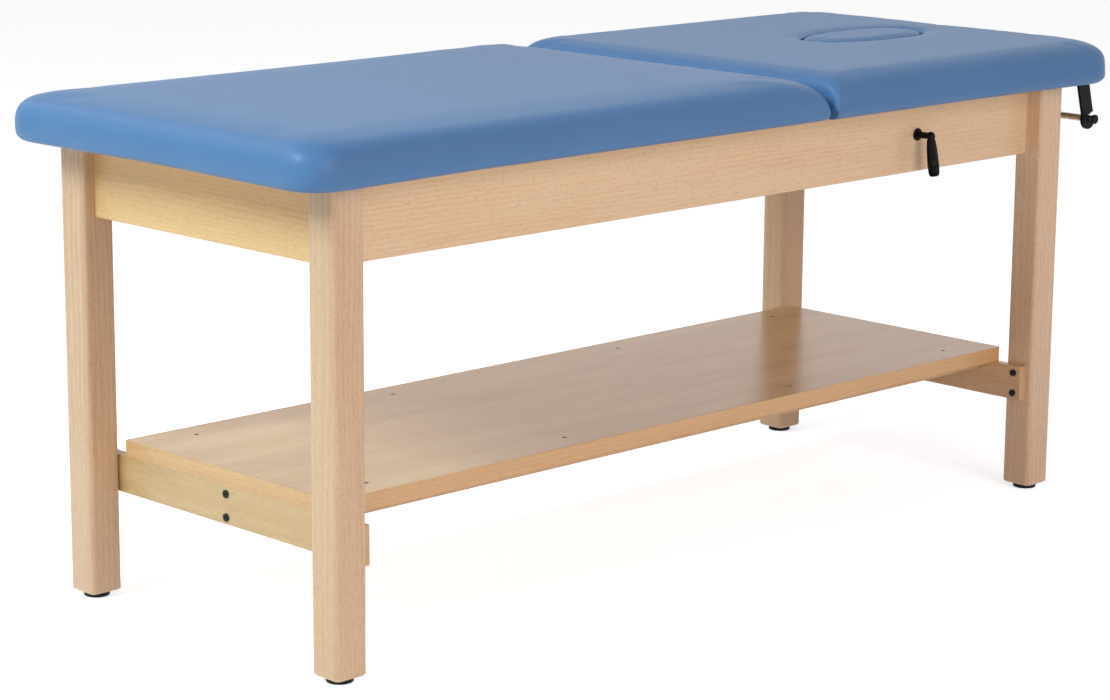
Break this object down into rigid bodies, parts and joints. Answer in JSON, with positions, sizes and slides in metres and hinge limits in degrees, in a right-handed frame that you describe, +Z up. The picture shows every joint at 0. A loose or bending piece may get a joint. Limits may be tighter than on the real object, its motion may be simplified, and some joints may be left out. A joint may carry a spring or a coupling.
{
  "type": "treatment table",
  "caption": "Padded treatment table: beech frame with aprons and a full shelf, hinged back-rest with lift-out face plug, lock lever on the side apron, paper-roll rod at the head end.",
  "frame": {"origin": "on the floor under the middle of the upholstery", "axes": "+X towards the head end along the table, -Y towards the side with the lock lever, +Z up"},
  "size_m": [1.829, 0.724, 0.791],
  "materials": {
    "beech": "satin",
    "plywood": "matte",
    "shelf_board": "satin",
    "blue_vinyl": "satin",
    "black_rubber": "matte",
    "black_bolts": "satin",
    "black_steel": "satin",
    "zinc_steel": "satin",
    "plated_rod": "polished",
    "black_plastic": "satin"
  },
  "bodies": {
    "frame": {"apron_back": "beech", "apron_foot": "beech", "apron_front": "beech", "apron_head": "beech", "board_bracket_screws": "zinc_steel", "board_brackets": "zinc_steel", "centre_rail": "beech", "centre_rail_bolts": "black_bolts", "centre_rail_nuts": "zinc_steel", "corner_block_foot_back": "beech", "corner_block_foot_front": "beech", "corner_block_head_back": "beech", "corner_block_head_front": "beech", "corner_bolts": "zinc_steel", "foot_board": "plywood", "foot_cushion": "blue_vinyl", "glide_foot_back": "black_rubber", "glide_foot_front": "black_rubber", "glide_head_back": "black_rubber", "glide_head_front": "black_rubber", "glide_screws": "zinc_steel", "hinge_leaf_fixed": "zinc_steel", "hinge_pin": "zinc_steel", "hinge_rail": "beech", "hinge_screws_fixed": "zinc_steel", "leg_foot_back": "beech", "leg_foot_front": "beech", "leg_head_back": "beech", "leg_head_front": "beech", "lock_backing_plate": "zinc_steel", "lock_bolt": "zinc_steel", "lock_clamp_plate": "zinc_steel", "lock_escutcheon": "black_plastic", "lock_plate_screws": "zinc_steel", "lock_spacers": "zinc_steel", "shelf": "shelf_board", "shelf_batten_back": "beech", "shelf_batten_front": "beech", "shelf_screws": "zinc_steel", "stretcher_bolts": "black_bolts", "stretcher_foot": "beech", "stretcher_head": "beech"},
    "back_rest": {"back_board": "plywood", "back_cushion": "blue_vinyl", "hinge_leaf_moving": "zinc_steel", "hinge_screws_moving": "zinc_steel", "stay_bracket": "zinc_steel", "stay_bracket_screws": "zinc_steel", "stay_pin": "zinc_steel", "paper_bracket_front": "black_steel", "paper_bracket_back": "black_steel", "paper_bracket_screws": "zinc_steel"},
    "face_plug": {"face_plug_base": "plywood", "face_plug_cushion": "blue_vinyl"},
    "stay": {"lock_stay": "zinc_steel"},
    "lock_lever": {"lock_lever": "black_plastic"},
    "paper_rod": {"paper_rod": "plated_rod", "paper_rod_caps": "black_plastic"}
  },
  "joints": [
    {"name": "back_rest_tilt", "type": "hinge", "parent": "frame", "child": "back_rest", "pos_m": [0.1615, 0, 0.7295], "axis": [0, -1, 0], "range_deg": [0, 55]},
    {"name": "stay_pivot", "type": "hinge", "parent": "back_rest", "child": "stay", "pos_m": [0.6615, -0.2593, 0.6895], "axis": [0, -1, 0], "range_deg": [0, 33]},
    {"name": "lock_lever_turn", "type": "hinge", "parent": "frame", "child": "lock_lever", "pos_m": [0.457, -0.3, 0.661], "axis": [0, -1, 0], "range_deg": [0, 120]},
    {"name": "face_plug_lift", "type": "slide", "parent": "back_rest", "child": "face_plug", "axis": [0, 0, 1], "range_m": [0, 0.12]},
    {"name": "paper_rod_spin", "type": "hinge", "parent": "back_rest", "child": "paper_rod", "pos_m": [0.8925, 0, 0.65], "axis": [0, 1, 0], "continuous": true}
  ],
  "couplings": [
    {"joint": "stay_pivot", "follows": "back_rest_tilt", "ratio": 0.6}
  ]
}
